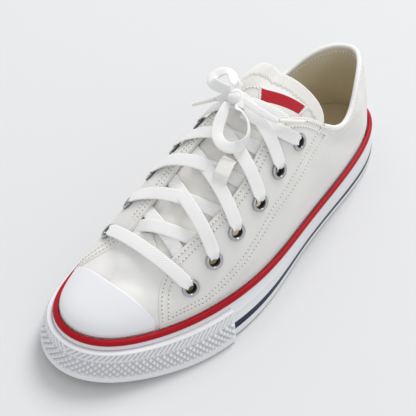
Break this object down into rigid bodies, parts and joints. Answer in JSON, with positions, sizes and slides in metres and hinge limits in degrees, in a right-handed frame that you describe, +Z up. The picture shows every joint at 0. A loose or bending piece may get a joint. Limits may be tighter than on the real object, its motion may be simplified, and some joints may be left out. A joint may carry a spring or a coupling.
{
  "type": "low canvas sneaker",
  "caption": "Low canvas lace-up sneaker, left shoe, with rubber toe cap, ribbed bumper, tall rubber foxing with a raised stripe, tongue and flat laces tied in a bow.",
  "frame": {"origin": "centre of the shoe's footprint box, on the floor under the sole", "axes": "+X towards the toe, +Y towards the outer side of this left shoe, +Z up"},
  "size_m": [0.2758, 0.0996, 0.1182],
  "materials": {
    "canvas": "warm off-white plain-weave cotton canvas",
    "tongue_canvas": "off-white cotton canvas with a pinked edge",
    "insole_cloth": "tan woven cloth over foam",
    "foxing_rubber": "cool white satin rubber",
    "cap_rubber": "smooth cool white satin rubber",
    "bumper_rubber": "cool white rubber with ribs and a small diamond grid",
    "stripe_rubber": "deep red satin rubber",
    "sole_rubber": "matt tan gum rubber",
    "eyelet_steel": "nickel plated, lightly brushed",
    "lace_cotton": "white flat herringbone-woven cotton",
    "aglet_plastic": "clear film wound tight on white lace"
  },
  "bodies": {
    "root": {"outsole": "sole_rubber", "upper": "canvas", "insole": "insole_cloth", "tongue": "tongue_canvas", "foxing": "foxing_rubber", "foxing_stripe": "stripe_rubber", "toe_bumper": "bumper_rubber", "toe_cap": "cap_rubber", "eyelet_outer_1": "eyelet_steel", "eyelet_inner_1": "eyelet_steel", "eyelet_outer_2": "eyelet_steel", "eyelet_inner_2": "eyelet_steel", "eyelet_outer_3": "eyelet_steel", "eyelet_inner_3": "eyelet_steel", "eyelet_outer_4": "eyelet_steel", "eyelet_inner_4": "eyelet_steel", "eyelet_outer_5": "eyelet_steel", "eyelet_inner_5": "eyelet_steel", "eyelet_outer_6": "eyelet_steel", "eyelet_inner_6": "eyelet_steel", "lace_bar": "lace_cotton", "lace_crossing_1": "lace_cotton", "lace_crossing_2": "lace_cotton", "lace_crossing_3": "lace_cotton", "lace_crossing_4": "lace_cotton", "lace_crossing_5": "lace_cotton", "lace_top_outer": "lace_cotton", "lace_top_inner": "lace_cotton", "lace_keeper": "tongue_canvas", "lace_knot": "lace_cotton", "lace_loop_front": "lace_cotton", "lace_loop_back": "lace_cotton", "lace_end_outer": "lace_cotton", "lace_end_inner": "lace_cotton", "aglet_outer": "aglet_plastic", "aglet_inner": "aglet_plastic"}
  },
  "joints": []
}
